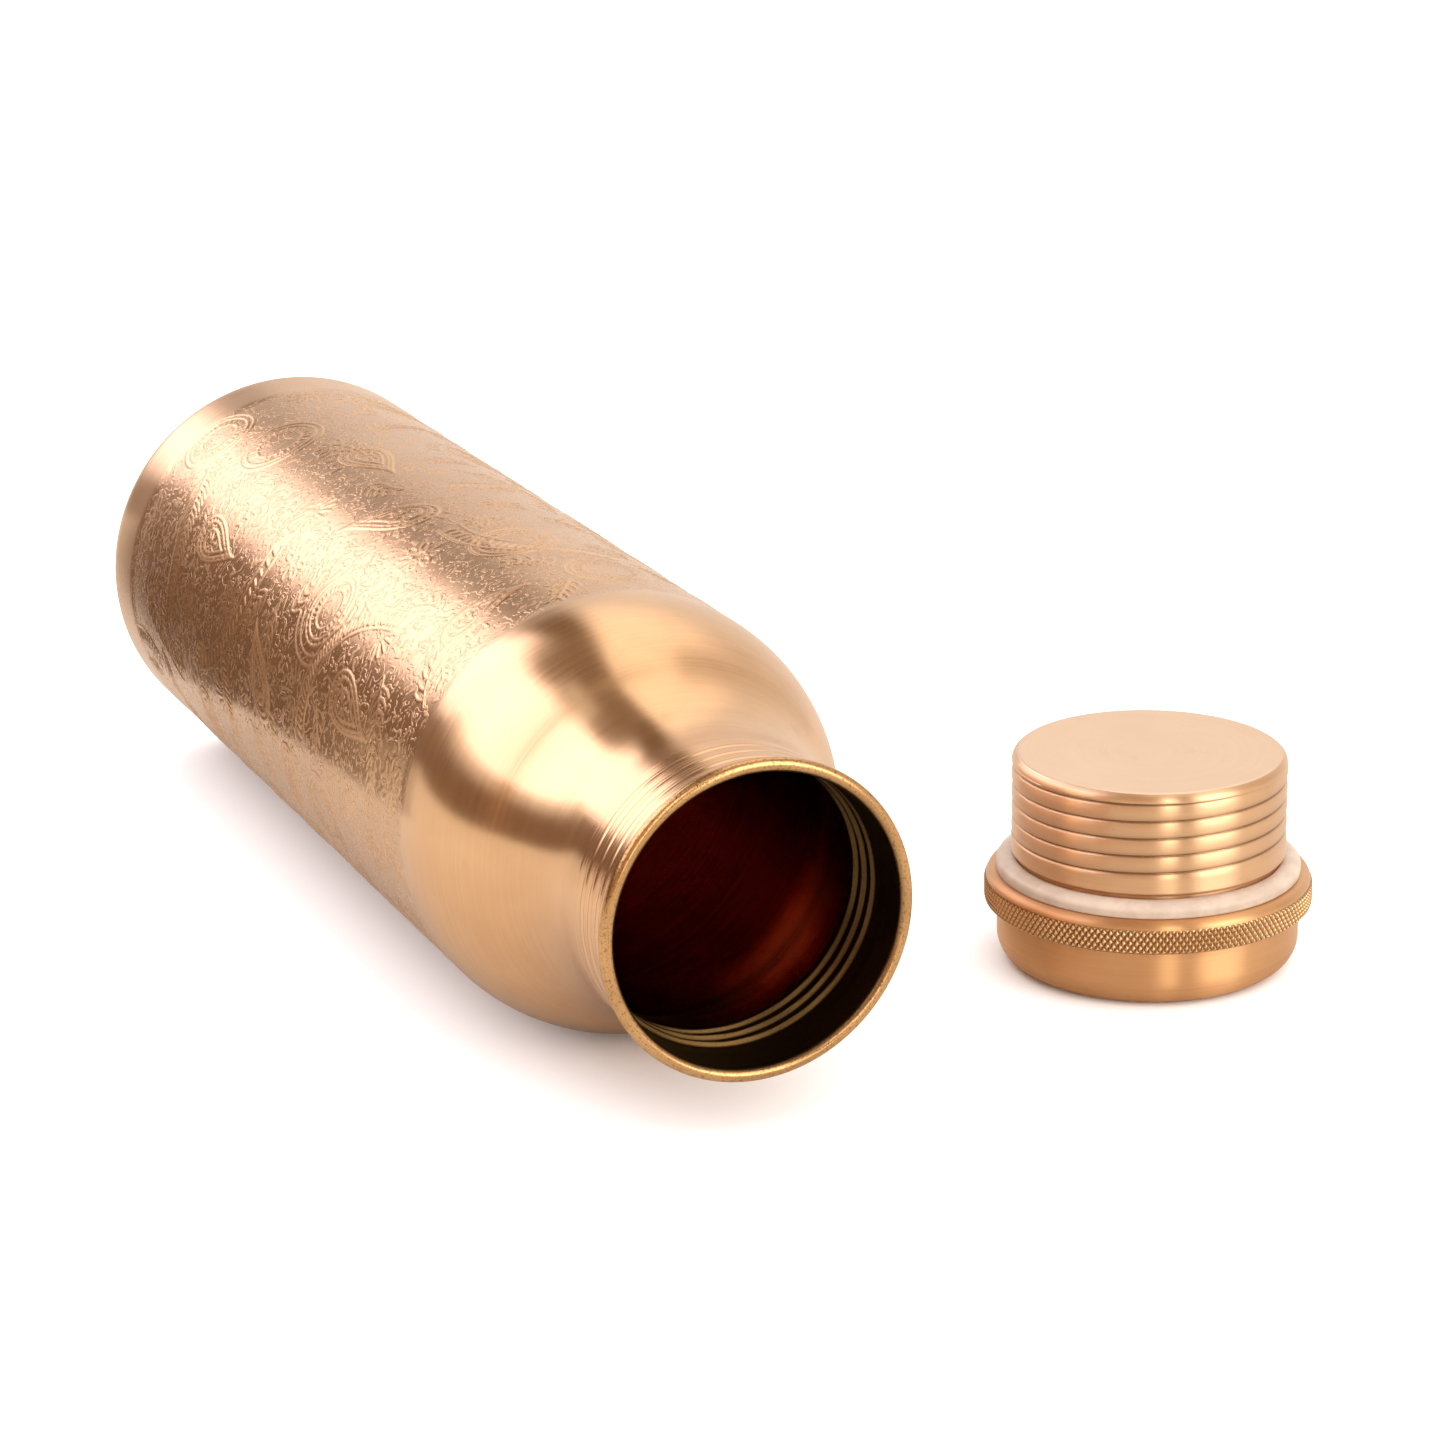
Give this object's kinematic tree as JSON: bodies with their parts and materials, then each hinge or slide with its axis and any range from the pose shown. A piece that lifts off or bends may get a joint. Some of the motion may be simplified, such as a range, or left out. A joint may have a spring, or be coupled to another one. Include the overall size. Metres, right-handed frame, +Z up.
{
  "type": "water bottle with screw cap",
  "caption": "Engraved copper water bottle lying on its side with its screw cap, gasket up, standing beside the open threaded mouth.",
  "frame": {"origin": "centre of the bottom of the whole object's box, on the surface that the lying bottle and the cap rest on", "axes": "+Y along the bottle axis from mouth to base, +Z up from the surface, +X from the bottle towards the cap"},
  "size_m": [0.1564, 0.232, 0.073],
  "materials": {
    "engraved_copper": "brushed copper with an engraved body",
    "brushed_copper": "fine circular brushing",
    "ring_brass": "turned and diamond knurled",
    "silicone": "soft translucent"
  },
  "bodies": {
    "bottle": {"bottle_body": "engraved_copper"},
    "seal": {"gasket": "silicone"},
    "cap": {"cap_shell": "brushed_copper", "knurled_ring": "ring_brass", "threaded_plug": "brushed_copper"}
  },
  "joints": [
    {"name": "cap_carry", "type": "hinge", "parent": "bottle", "child": "seal", "pos_m": [0.01796, -0.12241, 0.03359], "axis": [0.3417, -0.6646, -0.6646], "range_deg": [0, 217.73]},
    {"name": "cap_turn", "type": "hinge", "parent": "seal", "child": "cap", "pos_m": [0.0503, -0.0722, 0], "axis": [0, 0, 1], "continuous": true}
  ]
}
